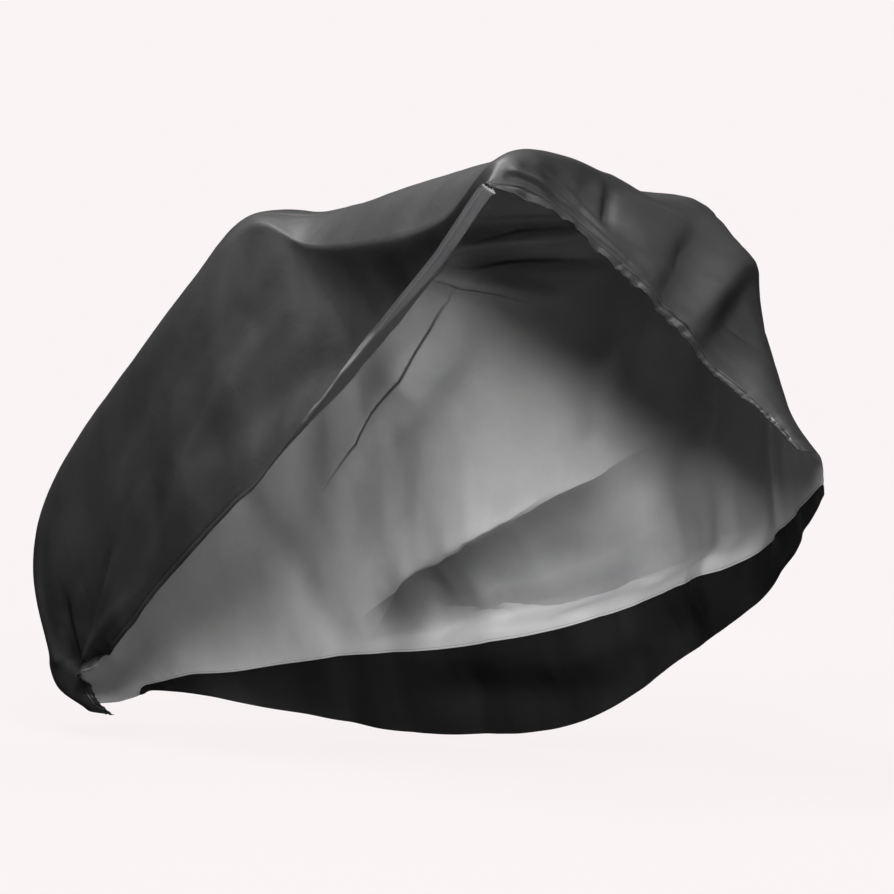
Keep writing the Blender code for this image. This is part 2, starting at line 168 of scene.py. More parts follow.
# %% Rows and columns
ROWS = [24] * 3 + [14] * 8 + [28] + [34] * 7        # rows from each section to the next
HEM_STRIP = -2 + 5 / 11                             # across: where the finished strip along the near hem ends
SPANS = (
    # across from, to, columns, how much closer they lie at the start, and at the end
    (-2.0, HEM_STRIP, 16, 0.0, 0.0),                # hem strip
    (HEM_STRIP, -1.0, 40, 0.3, 0.0),                # up to the near shoulder
    (-1.0, 0.0, 22, 0.0, 0.8),                      # up to the ridge seam
    (0.0, 1.0, 22, 0.8, 0.0),                       # down to the far shoulder
    (1.0, 2.0, 76, 0.5, 0.6),                       # down to the skirt seam
    (2.0, 3.0, 20, 0.5, 0.3),                       # down to the far hem
)


def shares(columns, at_start, at_end):
    """Even steps from 0 to 1, drawn together at the start and at the end. The 0 is left out."""
    t = np.arange(1, columns + 1) / columns
    wave = np.sin(np.pi * t) / np.pi
    return t - at_start * wave * (1 - t) + at_end * wave * t


STATION = np.concatenate([[0.0]] + [k + np.arange(1, n + 1) / n for k, n in enumerate(ROWS)])
ACROSS = np.concatenate([[-2.0]] + [a + (b - a) * shares(n, s, e) for a, b, n, s, e in SPANS])
HEM_COLUMN, _, RIDGE, _, SKIRT_SEAM, FAR_HEM = np.cumsum([span[2] for span in SPANS])
print("grid of", len(STATION), "rows and", len(ACROSS), "columns")

# %% Helpers for lines
FINE_STEPS = 40         # points on a line before its rows are spaced out
MOST_HEM = 0.4          # share of the cloth below the near shoulder that the hem's strip may take up
LEAST_ANGLE = 1e-4      # in place of 0, where the hem isn't rolled


def unit(vectors):
    """The same vectors, one metre long."""
    return vectors / np.linalg.norm(vectors, axis=-1, keepdims=True)


def rounded_span(points, k, rounding, steps):
    """Points from control point k to the next: straight in the middle, and rounded at both ends."""
    start, end = points[k], points[k + 1]
    length = np.linalg.norm(end - start)
    ahead = unit(end - start)
    before = unit(start - points[k - 1]) if k > 0 else ahead
    after = unit(points[k + 2] - end) if k + 2 < len(points) else ahead
    leave = start + unit(before + ahead) * min(rounding[k], length / 3)
    arrive = end - unit(ahead + after) * min(rounding[k + 1], length / 3)
    t = np.linspace(0, 1, steps + 1)[:, None]
    return (1 - t) ** 3 * start + 3 * t * (1 - t) ** 2 * leave + 3 * t ** 2 * (1 - t) * arrive + t ** 3 * end


def rounded_line(points, rounding, steps):
    """A line through all the points, with its own number of steps in each span."""
    spans = [rounded_span(points, k, rounding, steps[k])[1:] for k in range(len(points) - 1)]
    return np.concatenate([points[:1]] + spans)


def travelled(line):
    """How far along a line each of its points is."""
    return np.concatenate([[0], np.cumsum(np.linalg.norm(np.diff(line, axis=0), axis=1))])


def along_rows(grid):
    """How far along its row each point of a grid is."""
    return np.array([travelled(row) for row in grid])


def at_distances(line, distances, values=None):
    """The points of a line at these distances along it, or the values that belong to those points."""
    along = travelled(line)
    values = line if values is None else values
    return np.stack([np.interp(distances, along, column) for column in values.T], axis=1)


# %% [markdown]
# The hem has a table of its own. Beside the rear wheel it lies flat. Past the saddle it rolls outwards, so
# its silver inside shows as a cuff, and from the handlebar to the front wheel elastic draws it into a
# bunch. Where it rolls, the black cloth reaches further down, to the fold, and the cuff comes back up to
# the hem's line. The cloth in the roll and the flat part are in millimetres.

# %% The hem table
HEM_FINISH = (
    # section, roll from 0 (flat) to 1 (folded over), cloth in the roll, flat part, share of the pleats
    (0, 0, 10, 12, 0.35),
    (2, 0, 10, 12, 0.25),
    (3, 0, 10, 12, 0),
    (7.9, 0, 6, 2, 0),
    (8.5, 1, 6, 2, 0),
    (9.1, 1, 7, 6, 0),
    (9.9, 1, 8, 12, 0),
    (10.7, 1, 8, 20, 0),
    (12, 1, 8, 23, 0),
    (12.05, 1, 6, 10, 0),
    (12.09, 1, 3, 2, 0),
    (12.12, 0.5, 2, 2, 0),
    (12.15, 0, 2, 3, 0.05),
    (12.5, 0, 12, 18, 0.4),
    (12.8, 0, 15, 45, 0.9),
    (13.3, 0, 15, 50, 1),
    (17, 0, 10, 20, 0.6),
    (19, 0, 8, 12, 0.3),
)


def hem_at(station):
    """The hem's roll, the cloth in the roll, its flat part and its share of the pleats, at a section."""
    sections, rolls, bends, flats, pleats = np.array(HEM_FINISH).T
    return [np.interp(station, sections, column) for column in (rolls, bends / MM, flats / MM, pleats)]


def hem_edge(roll, bend, flat):
    """How far up from the hem's line the strip starts to roll. Below 0, it is beyond that line."""
    angle = max(roll * np.pi, LEAST_ANGLE)
    return bend / angle * np.sin(angle) + flat * np.cos(angle)


# %% The smooth cover
ORIGIN = np.array((-0.4854, 0.0019, -0.0159))       # the ground below the rear axle, in the frame
SPARE = 0.08            # cloth beyond the hem's line, for the rolled hem
CUFF_DOWN = np.array((0.634, 0.464, -0.618))        # it turns in and forwards, so the cuff faces the front
TURN_WITHIN = 0.006     # and it turns within this distance
LEAST_STRIP = 0.020
HOLLOW = (
    # section, how deep the cloth hangs in between the near hem and the line from the saddle to the handlebar
    (6.0, 0.0), (7.0, 0.018), (8.0, 0.050), (8.8, 0.072), (9.4, 0.080), (10.0, 0.078), (10.7, 0.062),
    (11.2, 0.042), (11.9, 0.004), (12.1, 0.0),
)
HOLLOW_LOW = 0.62       # below 1, the deepest part is nearer to the hem
HOLLOW_NARROW = 1.2     # above 1, the hollow fades in more gently at both edges


def columns_between(k):
    """How far along its line each column of a span lies, from 0 to 1."""
    columns, at_start, at_end = SPANS[k][2:]
    return shares(columns, at_start, at_end)


def beyond_hem(near, roll):
    """The cloth beyond the hem's line, from its end back to that line. Where it is rolled, it turns in."""
    down = unit(near[0] - near[3])
    distances = np.linspace(SPARE, 0, FINE_STEPS + 1)[:-1, None]
    turned = np.minimum(1, distances / TURN_WITHIN) * roll
    return near[0] + unit(down * (1 - turned) + CUFF_DOWN * turned) * distances


def section_row(control, hem, hollow, skirt, seam_side):
    """One row of cloth over the five lines, from the near hem to the far hem, and the scale of its hem."""
    near, rise, fall, far = (rounded_span(control, k, ROUND_ACROSS, FINE_STEPS) for k in range(4))
    near[:, 1] += hollow * np.sin(np.pi * np.linspace(0, 1, FINE_STEPS + 1) ** HOLLOW_LOW) ** HOLLOW_NARROW
    near = np.concatenate([beyond_hem(near, hem[0]), near])
    top = np.concatenate([rise, fall[1:]])
    near_end, top_end, far_end = travelled(near)[-1], travelled(top)[-1], travelled(far)[-1]
    hem_line = travelled(near)[FINE_STEPS]
    roll, bend, flat, share = hem
    scale = 1 - (1 - roll) * max(0, 1 - MOST_HEM * (near_end - hem_line) / (bend + flat))
    edge = hem_line + hem_edge(roll, bend, flat) * scale
    strip = min(hem_line, edge - LEAST_STRIP)
    ridge_seam = np.interp(seam_side, top[:, 1], travelled(top))
    stops = ((near, strip, edge), (near, edge, near_end), (top, 0, ridge_seam), (top, ridge_seam, top_end),
             (far, 0, far_end - skirt), (far, far_end - skirt, far_end))
    spans = [at_distances(line, start + (end - start) * columns_between(k))
             for k, (line, start, end) in enumerate(stops)]
    return np.concatenate([at_distances(near, [strip])] + spans), scale


def smooth_cover():
    """The cover without its folds, as a grid of rows and columns, and the scale of the hem in each row."""
    lines = []
    for k, at_grip in enumerate(ROUND_AT_GRIP):
        rounding = [at_grip if i == GRIP else ROUND_ALONG for i in range(len(SECTIONS))]
        lines.append(rounded_line(np.array([section[k] for section in SECTIONS]) / MM, rounding, ROWS))
    skirts, seam_sides = ([section[k] / MM for section in SECTIONS] for k in (-2, -1))
    skirt, seam_side = (np.interp(STATION, range(len(SECTIONS)), values) for values in (skirts, seam_sides))
    rows, scales = [], []
    for i, here in enumerate(STATION):
        control = np.array([line[i] for line in lines])
        hollow = np.interp(here, *zip(*HOLLOW))
        row, scale = section_row(control, hem_at(here), hollow, skirt[i], seam_side[i])
        rows.append(row)
        scales.append(scale)
    return np.array(rows) + ORIGIN, scales


def outward(grid):
    """The direction that faces out of the cover at each point of the grid."""
    return unit(np.cross(np.gradient(grid, axis=0), np.gradient(grid, axis=1)))


def raised(grid, height):
    """The grid with each point moved outwards by its own height."""
    return grid + outward(grid) * height[..., None]


smooth, hem_scale = smooth_cover()
print("smooth cover:", np.ptp(smooth, axis=(0, 1)).round(3))

# %% [markdown]
# ## Folds, placed one by one
#
# A fold is a ridge (height above 0) or a trough (below 0) along a line through three places on the cover. A
# place is a section and a line across: -2 at the near hem, -1 at the near shoulder, 0 at the ridge seam, 1
# at the far shoulder, 2 at the skirt seam and 3 at the far hem. A fold has one width to the left of its
# line and one to the right, seen from outside, so it can lean over: a narrow side is a steep side. That is
# how cloth really folds, and it is what catches the light on one side only. The widths, and the heights at
# the three places, are in millimetres.

# %% The folds of the near side
NEAR_FOLDS = (
    # start, middle, end, left, right, heights
    # the hollow under the line from saddle to handlebar, and the swell along the hem
    ((9.60, -1.36), (8.50, -1.40), (6.70, -1.38), 50, 55, (-1, -12, -12)),
    ((8.60, -1.04), (7.70, -1.14), (6.50, -1.28), 34, 34, (0, 12, 4)),
    # long folds that fall from the saddle to the rear wheel
    ((7.60, -1.20), (6.30, -1.42), (3.40, -1.65), 34, 34, (0, 12, 4)),
    ((7.40, -1.02), (5.60, -1.12), (3.20, -1.35), 30, 30, (-2, -9, -4)),
    ((6.40, -0.95), (4.60, -1.05), (2.80, -1.20), 28, 28, (0, 8, 3)),
    # pleats drawn together at the elastic behind the rear wheel
    ((2.00, -1.55), (3.00, -1.45), (4.60, -1.52), 14, 14, (10, 7, 0)),
    ((2.00, -1.35), (2.90, -1.22), (4.20, -1.28), 14, 14, (-8, -6, 0)),
    ((1.80, -1.15), (2.80, -1.02), (3.80, -1.02), 14, 14, (9, 6, 0)),
    ((1.80, -0.70), (2.80, -0.65), (3.80, -0.60), 14, 14, (-8, -6, 0)),
    ((1.80, 0.90), (3.00, 1.05), (4.40, 1.15), 16, 16, (9, 7, 0)),
    ((1.80, 1.30), (3.00, 1.35), (4.60, 1.45), 18, 18, (-8, -8, 0)),
    # smaller ones: a crease that leans over towards the rear wheel, and faint folds from the saddle's corner
    ((5.30, -1.33), (4.20, -1.36), (3.20, -1.42), 6, 12, (0, -4, 0)),
    ((8.30, -1.20), (7.60, -1.26), (6.40, -1.34), 20, 40, (0, 8, 3)),
    ((8.10, -1.08), (7.30, -1.24), (5.90, -1.34), 16, 20, (-1, -5, -1)),
    # the ends of the pleats, as wedges
    ((3.50, -1.20), (2.80, -1.31), (1.90, -1.48), 6, 12, (0, -9, -6)),
    ((3.20, -1.48), (2.40, -1.52), (1.60, -1.60), 7, 7, (0, 6, 5)),
    ((2.90, -1.62), (2.20, -1.66), (1.50, -1.70), 6, 6, (0, -6, -5)),
    # a dip in the ridge where the cloth bridges from the saddle to the handlebar
    ((8.60, -0.10), (9.40, -0.40), (10.60, -0.60), 50, 50, (0, -6, 0)),
)

# %% [markdown]
# From the far end of the handlebar folds fan out over the front wheel. One has a sharp edge, with the cloth
# standing up on its front side. The next turns under and faces the ground, so it reads as a broad dark
# band.

# %% The folds of the front
FRONT_FOLDS = (
    # start, middle, end, left, right, heights
    ((12.00, 0.00), (12.10, 0.40), (12.20, 0.85), 100, 100, (-14, -35, -8)),
    # the sharp edge, and the hollow behind it
    ((13.25, 0.58), (14.46, 0.17), (14.78, -1.60), 18, 45, (1, 5, 2)),
    # the band that turns under: its upper edge, and its lower one
    ((14.50, 0.90), (15.31, 0.31), (15.67, -1.52), 24, 45, (7, 22, 9)),
    ((15.25, 0.97), (15.78, 0.32), (15.93, -1.61), 80, 26, (-8, -28, -10)),
    ((16.40, 0.85), (16.90, 0.30), (17.20, -1.50), 30, 30, (2, 6, 4)),
    # the tent beside the stem: a deep narrow hollow between two ridges
    ((12.98, -0.30), (13.48, -0.72), (13.66, -1.16), 14, 12, (-9, -26, 0)),
    ((13.16, -0.38), (13.64, -0.74), (13.78, -1.12), 36, 12, (-6, -16, 0)),
    # the bunch that the elastic draws together below the grip: long folds that run down into the hem
    ((12.30, -1.38), (13.20, -1.42), (14.20, -1.44), 6, 6, (-3, -6, -2)),
    ((12.30, -1.25), (13.20, -1.34), (14.10, -1.42), 8, 7, (3, 6, 2)),
    ((12.35, -1.10), (13.20, -1.22), (14.00, -1.38), 8, 8, (-3, -5, -1)),
    ((12.40, -0.95), (13.10, -1.08), (13.80, -1.28), 10, 8, (3, 4, 1)),
    ((12.45, -0.82), (13.00, -0.94), (13.60, -1.16), 8, 9, (-2, -4, 0)),
    # flat facets beside the grip
    ((12.65, -0.55), (12.88, -0.80), (13.10, -1.15), 9, 30, (1, 4, 2)),
    ((12.35, -0.90), (12.55, -1.15), (12.85, -1.50), 9, 24, (1, 4, 2)),
)

# %% [markdown]
# The far panel hangs to the ground and is seen from inside, between the two hems. There a fold below 0
# comes towards the eye. Its last folds run along the skirt: the cloth kicks out above that seam and shows a
# bright strip.

# %% The folds of the far side and the skirt
FAR_FOLDS = (
    # start, middle, end, left, right, heights
    # the hollow beside the crease that runs down from the top
    ((9.74, 1.20), (9.66, 1.46), (7.10, 1.62), 30, 40, (4, 12, 4)),
    # the slack above the skirt
    ((13.60, 1.62), (12.40, 1.72), (10.80, 1.78), 50, 50, (-10, -26, -10)),
    # folds drawn tight under the top
    ((9.60, 1.075), (10.20, 1.05), (11.00, 1.055), 10, 18, (-12, -24, -10)),
    ((9.60, 1.105), (10.15, 1.10), (10.90, 1.115), 10, 10, (12, 20, 6)),
    ((9.45, 1.13), (9.90, 1.155), (10.50, 1.20), 10, 16, (-12, -22, -6)),
    ((9.30, 1.17), (9.75, 1.20), (10.40, 1.25), 14, 16, (5, 16, 0)),
    ((9.90, 0.85), (10.60, 0.92), (11.60, 0.80), 20, 30, (-6, -16, -4)),
    # broad upright folds of the hanging cloth
    ((12.20, 1.05), (11.90, 1.45), (11.60, 2.00), 40, 50, (6, 24, 6)),
    ((11.30, 1.10), (11.00, 1.45), (10.60, 1.75), 50, 30, (-4, -22, -6)),
    ((13.40, 1.05), (13.60, 1.50), (13.40, 2.40), 40, 40, (-4, -20, -8)),
    ((14.60, 1.10), (14.90, 1.60), (14.80, 2.60), 34, 34, (4, 16, 8)),
    ((16.00, 1.20), (16.20, 1.70), (16.00, 2.70), 30, 30, (-4, -14, -8)),
    ((5.60, 1.15), (6.00, 1.55), (6.20, 2.20), 40, 40, (2, 12, 6)),
    # the strip above the skirt: a hollow above it, and the edge where it meets the skirt
    ((14.60, 2.00), (10.50, 2.00), (6.30, 2.00), 40, 85, (-20, -34, -6)),
    # low waves along the far hem
    ((7.00, 2.50), (8.30, 2.45), (9.80, 2.60), 40, 40, (2, 14, 6)),
    ((9.60, 2.35), (10.80, 2.50), (12.00, 2.30), 36, 36, (-4, -14, -4)),
    ((12.00, 2.60), (12.60, 2.40), (13.40, 2.60), 34, 34, (4, 12, 4)),
)

# %% [markdown]
# Some folds have been pressed by their own weight, so the cloth turns a corner along them, and not a curve.

# %% The sharp folds
SHARP_FOLDS = (
    # start, middle, end, left, right, heights
    # inside: the fold that overhangs, the hollow that ends it above the strip, and the long crease
    ((11.30, 1.62), (9.35, 1.755), (7.30, 1.85), 75, 70, (-16, -64, -20)),
    ((14.30, 1.88), (11.00, 1.915), (6.50, 1.965), 60, 22, (16, 50, 10)),
    ((9.72, 1.15), (9.28, 1.39), (6.80, 1.555), 50, 22, (-8, -18, -6)),
    ((9.85, 1.32), (9.25, 1.50), (8.80, 1.40), 35, 24, (-4, -16, -6)),
    ((12.60, 1.12), (11.20, 1.32), (10.20, 1.50), 60, 50, (-4, -16, -4)),
    # outside: in front, and behind the rear wheel
    ((13.25, 0.62), (14.56, 0.22), (14.86, -1.50), 60, 14, (-5, -14, -6)),
    ((5.60, -1.27), (3.80, -1.38), (2.00, -1.50), 6, 22, (-2, -8, -5)),
)
print(len(NEAR_FOLDS + FRONT_FOLDS + FAR_FOLDS), "round folds and", len(SHARP_FOLDS), "sharp ones")

# %% Laying the folds on the grid
FOLD_STEPS = 12         # straight pieces in the line of a fold


def place_on(grid, place):
    """The point of the grid at a section and a line across."""
    row = np.interp(place[0], STATION, range(len(STATION)))
    column = np.interp(place[1], ACROSS, range(len(ACROSS)))
    i, j = min(int(row), grid.shape[0] - 2), min(int(column), grid.shape[1] - 2)
    a, b = row - i, column - j
    near_row = grid[i, j] * (1 - b) + grid[i, j + 1] * b
    next_row = grid[i + 1, j] * (1 - b) + grid[i + 1, j + 1] * b
    return near_row * (1 - a) + next_row * a


def route_of(grid, start, middle, end):
    """The line of a fold on the grid, through three places."""
    route = []
    for t in np.linspace(0, 1, FOLD_STEPS + 1):
        early = np.array(start) * (1 - t) + np.array(middle) * t
        late = np.array(middle) * (1 - t) + np.array(end) * t
        route.append(place_on(grid, early * (1 - t) + late * t))
    return route


def fold_height(grid, facing, fold, power):
    """How far a fold moves each point of the grid outwards. At a power of 2 it is round, and at 1 sharp."""
    start, middle, end, left, right, heights = fold
    left, right, heights = left / MM, right / MM, np.array(heights) / MM
    route = route_of(grid, start, middle, end)
    nearest = np.full(grid.shape[:2], np.inf)
    height, side = np.zeros(grid.shape[:2]), np.zeros(grid.shape[:2])
    for k in range(FOLD_STEPS):
        step = route[k + 1] - route[k]
        along = np.clip(((grid - route[k]) @ step) / (step @ step), 0, 1)
        away = grid - route[k] - along[..., None] * step
        distance = np.linalg.norm(away, axis=-1)
        closer = distance < nearest
        height = np.where(closer, np.interp((k + along) / FOLD_STEPS, (0, 0.5, 1), heights), height)
        side = np.where(closer, np.sum(np.cross(facing, unit(step)) * away, axis=-1), side)
        nearest = np.where(closer, distance, nearest)
    # one width turns into the other over the narrower of the two, so that the fold has no step in it
    leftness = 0.5 + 0.5 * np.tanh(side / min(left, right))
    return height * np.exp(-(nearest / (right * (1 - leftness) + left * leftness)) ** power)


def folded(grid, folds, power):
    """The grid with these folds."""
    facing = outward(grid)
    return grid + facing * sum(fold_height(grid, facing, fold, power) for fold in folds)[..., None]


ROUND, SHARP = 2.0, 1.15
cover = folded(folded(smooth, NEAR_FOLDS + FRONT_FOLDS + FAR_FOLDS, ROUND), SHARP_FOLDS, SHARP)
most = float(np.linalg.norm(cover - smooth, axis=-1).max())
print("folds move the cloth by up to", round(most * MM), "mm")

# %% [markdown]
# Cloth that hangs is never quite even between its folds. Low waves, mostly upright, are added everywhere:
# each is a plane wave in a direction drawn by a seeded random number generator, so the cover is the same
# each time.

# %% Low waves
WAVES = (
    # how many, length, height
    (7, 0.190, 0.0009),
    (9, 0.100, 0.0005),
    (11, 0.050, 0.00022),
)
LEAN = 0.35             # how far a wave may lean from upright
LENGTHS_VARY = (0.7, 1.4)
WAVE_SEED = 5
SLACK = (
    # across, share of the waves
    (-2.0, 0.1), (-1.6, 0.5), (-1.3, 0.8), (-1.0, 0.4), (0.0, 0.1), (1.0, 0.4), (1.3, 1.0), (3.0, 1.0),
)


def low_waves(grid, seed):
    """How far the low waves move each point outwards."""
    draw = np.random.default_rng(seed)
    height = np.zeros(grid.shape[:2])
    for count, length, most in WAVES:
        for _ in range(count):
            turn = draw.uniform(0, 2 * np.pi)
            direction = np.array((np.cos(turn), np.sin(turn), draw.uniform(-LEAN, LEAN)))
            phase = draw.uniform(0, 2 * np.pi)
            length_here = length * draw.uniform(*LENGTHS_VARY)
            height += most * np.sin(grid @ direction * 2 * np.pi / length_here + phase)
    return height


slack = np.interp(ACROSS, *zip(*SLACK))
cover = raised(cover, low_waves(cover, WAVE_SEED) * slack)

# %% [markdown]
# ## The finished hem
#
# The strip along the near hem is bent along its length: flat, rolled into a cuff, or pleated. Then come the
# gathers. Elastic shortens the edge, so the cloth between two pinches puffs out, and the puff fades away
# inwards. The pinches aren't evenly spaced on a real cover, so the length of each puff is drawn from a
# seeded random number generator.

# %% Rolling the hem
FLAT_COLUMNS = 7                        # columns in the flat part of a rolled hem, out of the strip's 16
UNDER_CUFF = 24                         # columns above the strip that it takes its direction from
UNDER_SHARE = 0.8                       # and it takes it at this share of the flat part,
LEAST_RUN = 0.010                       # or at least this far up
PLEAT_HEIGHT = 0.0070
PLEATS_VARY = ((0.35, 9.1, 0.0), (0.20, 23.7, 1.0))     # share, waves from section to section, start
PLEATS_AT = (0, 3, 6, 10, 13, 16)       # columns of the long pleats, from the free edge inwards
PLEATS = (1.0, -0.6, 1.0, -0.8, 0.7, 0.0)
SOFTEN = (0.25, 0.50, 0.25)             # each column of a pleat is averaged with its neighbours


def rolled_hem(roll, bend, flat):
    """The strip along the hem, from its free edge to where it starts to roll: how far up, and how far out."""
    angle = max(roll * np.pi, LEAST_ANGLE)
    radius = bend / angle
    profile = []
    for j in range(HEM_COLUMN + 1):
        reach = flat * max(0.0, 1 - j / FLAT_COLUMNS)
        turn = angle * min(1.0, (HEM_COLUMN - j) / (HEM_COLUMN - FLAT_COLUMNS))
        profile.append((-radius * np.sin(turn) - reach * np.cos(angle),
                        radius * (1 - np.cos(turn)) + reach * np.sin(angle)))
    return profile


def finish_hem(grid):
    """The grid with its near hem rolled and pleated."""
    grid = grid.copy()
    facing = outward(grid)
    pleats = np.interp(range(HEM_COLUMN + 1), PLEATS_AT, PLEATS)
    pleats = np.convolve(np.pad(pleats, 1, mode="edge"), SOFTEN, mode="valid")
    for i, here in enumerate(STATION):
        roll, bend, flat, share = hem_at(here)
        above = grid[i, HEM_COLUMN:HEM_COLUMN + UNDER_CUFF]
        up = unit(at_distances(above, [max(UNDER_SHARE * flat * roll, LEAST_RUN)])[0] - above[0])
        out = facing[i, HEM_COLUMN + 1]
        out = unit(out - up * (out @ up))
        edge = above[0].copy()
        uneven = 1 + sum(part * np.sin(waves * here + start) for part, waves, start in PLEATS_VARY)
        for j, (rise, height) in enumerate(rolled_hem(roll, bend, flat)):
            pleat = share * PLEAT_HEIGHT * pleats[j] * uneven
            grid[i, j] = edge + (up * rise + out * (height + pleat)) * hem_scale[i]
    return grid


cover = finish_hem(cover)

# %% Gathering the elastic ends
GATHERED = (
    # section, share of the gathers
    (0.0, 0.8), (2.0, 1.0), (3.2, 0.5), (4.2, 0.0), (12.3, 0.0), (12.8, 0.5), (13.4, 1.0), (19.0, 0.8),
)
PUFF_SEED = 11
PUFF_HEIGHTS = (0.5, 1.0)
PUFF_ROUND = 0.8        # below 1, a puff is round on top and steep at its pinches
PUFFS = (
    # shortest, longest, height, reach from the hem as a share of the length
    (0.008, 0.019, 0.0030, 0.9),
    (0.022, 0.060, 0.0050, 0.8),
)


def puffs(along, shortest, longest, draw):
    """The cloth between pinches of the elastic: its height, up to half above or below, and its length."""
    lengths = draw.uniform(shortest, longest, int(along[-1] / shortest) + 2)
    heights = draw.uniform(*PUFF_HEIGHTS, len(lengths))
    ends = np.cumsum(lengths)
    k = np.searchsorted(ends, along)
    part = (along - ends[k] + lengths[k]) / lengths[k]
    return heights[k] * (np.sin(np.pi * part) ** PUFF_ROUND - 0.5), lengths[k]


def gathered(grid):
    """The grid with its elastic hem drawn up into puffs of all lengths."""
    draw = np.random.default_rng(PUFF_SEED)
    along = travelled(grid[:, 0])
    share = np.interp(STATION, *zip(*GATHERED))
    inwards = along_rows(grid)
    height = np.zeros(grid.shape[:2])
    for shortest, longest, most, reach in PUFFS:
        rise, length = puffs(along, shortest, longest, draw)
        fading = np.exp(-(inwards / (reach * length)[:, None]) ** 2)
        height += (share * rise)[:, None] * most * fading
    return raised(grid, height)


cover = gathered(cover)
print("gathered hem is", round(float(travelled(cover[:, 0])[-1]), 2), "m long")

# %% [markdown]
# ## Seams
#
# A sewn seam pulls the cloth in along its line, more between some stitches than others, which gives it its
# puckers. The near hem is folded double and sewn down, so a groove runs along it beside the edge.

# %% Seam grooves
SEAM_WIDTH = 0.0045
SEAM_DEPTH = 0.0009
PUCKER_REACH = 0.016
PUCKER_SPACING = 0.022
PUCKER_HEIGHT = 0.0004
PUCKER_DRIFT = (0.005, 61)      # how far the puckers move from an even spacing, and how often to and fro
PUCKER_FADE = (0.4, 17)         # how much their height varies, and how often
HEM_FOLD = 0.010                # width of the doubled hem
HEM_PUFF = (0.0007, 0.004)      # height and width of its puffed edge
HEM_GROOVE = (0.0011, 0.0022)   # depth and width of the groove along its stitches
LAST_STITCHED = 12.8            # past this section the ridge seam is pressed flat and hardly shows
RIDGE_FADE = 0.6                # in sections


def seam(grid, column):
    """How far a seam along a column pulls the cloth in, and its puckers."""
    line = grid[:, column][:, None]
    away = np.linalg.norm(grid - line, axis=-1)
    along = travelled(grid[:, column])
    drift = PUCKER_DRIFT[0] * np.sin(along * PUCKER_DRIFT[1])
    pucker = np.sin(2 * np.pi * (along + drift) / PUCKER_SPACING)
    pucker = pucker * (1 - PUCKER_FADE[0] + PUCKER_FADE[0] * np.sin(along * PUCKER_FADE[1] + column))
    return (PUCKER_HEIGHT * pucker[:, None] * np.exp(-(away / PUCKER_REACH) ** 2)
            - SEAM_DEPTH * np.exp(-(away / SEAM_WIDTH) ** 2))


def hem_groove(grid):
    """How far the sewn hem moves the cloth: puffed at the edge, and pulled in along the stitches."""
    away = along_rows(grid)
    return (HEM_PUFF[0] * np.exp(-((away - HEM_FOLD / 2) / HEM_PUFF[1]) ** 2)
            - HEM_GROOVE[0] * np.exp(-((away - HEM_FOLD) / HEM_GROOVE[1]) ** 2))


ridge_share = np.interp(STATION, (LAST_STITCHED - RIDGE_FADE, LAST_STITCHED), (1.0, 0.0))[:, None]
pulled = seam(cover, RIDGE) * ridge_share + seam(cover, SKIRT_SEAM) + hem_groove(cover)
cover = raised(cover, pulled)
facing = outward(cover)
print("seams pull in by up to", round(float(-pulled.min()) * MM, 1), "mm")

# %% [markdown]
# ## Shared effects
#
# The black face, the silver face and the skirt are all plain weave under different coatings, so the weave,
# the crinkles and the cloudy wear are each a node group, built once. A group puts out only heights and
# masks. The shader, and the numbers that are the same all over, stay in each material.

# %% Helpers for nodes
def node(tree, kind, inputs=(), **settings):
    """A new node with these settings and input values or links."""
    made = tree.nodes.new("ShaderNode" + kind)
    for name, value in settings.items():
        setattr(made, name, value)
    for name, value in dict(inputs).items():
        if isinstance(value, bpy.types.NodeSocket):
            tree.links.new(value, made.inputs[name])
        else:
            made.inputs[name].default_value = value
    return made


def group(name, output, numbers, vectors=("Place",)):
    """A new node group that takes vectors and numbers and has one output: its tree, inputs and output."""
    tree = bpy.data.node_groups.new(name, "ShaderNodeTree")
    for socket in vectors:
        tree.interface.new_socket(name=socket, in_out="INPUT", socket_type="NodeSocketVector")
    for socket, value in numbers.items():
        made = tree.interface.new_socket(name=socket, in_out="INPUT", socket_type="NodeSocketFloat")
        made.default_value = value
    tree.interface.new_socket(name=output, in_out="OUTPUT", socket_type="NodeSocketFloat")
    return tree, tree.nodes.new("NodeGroupInput").outputs, tree.nodes.new("NodeGroupOutput").inputs[output]


def maths(tree, operation, a, b=0.0):
    """The result of a sum of two sockets or numbers."""
    return node(tree, "Math", {0: a, 1: b}, operation=operation).outputs[0]


def mapped(tree, value, limits, **settings):
    """A value from one range turned into another."""
    return node(tree, "MapRange", {"Value": value, **limits}, **settings).outputs[0]


# %% The weave
def weave_group():
    """Plain weave: threads that cross over and under each other."""
    tree, given, result = group("plain_weave", "Height", {"Threads": 2000.0})
    apart = node(tree, "SeparateXYZ", {"Vector": given["Place"]})
    waves = []
    for axis in ("X", "Y"):
        scaled = maths(tree, "MULTIPLY", apart.outputs[axis], given["Threads"])
        waves.append(maths(tree, "SINE", maths(tree, "MULTIPLY", scaled, math.pi)))
    tree.links.new(maths(tree, "MULTIPLY", *waves), result)
    return tree


# %% The crinkles
def crinkle_group():
    """Small creases that a coated cloth keeps after it has been folded away."""
    tree, given, result = group("crinkles", "Height", {"Scale": 30.0})
    noise = node(tree, "TexNoise", {"Vector": given["Place"], "Scale": given["Scale"], "Detail": 4.0,
                                    "Roughness": 0.5, "Distortion": 0.6})
    folded_over = maths(tree, "ABSOLUTE", maths(tree, "SUBTRACT", noise.outputs[0], 0.5))
    tree.links.new(maths(tree, "MULTIPLY", folded_over, 2.0), result)
    return tree


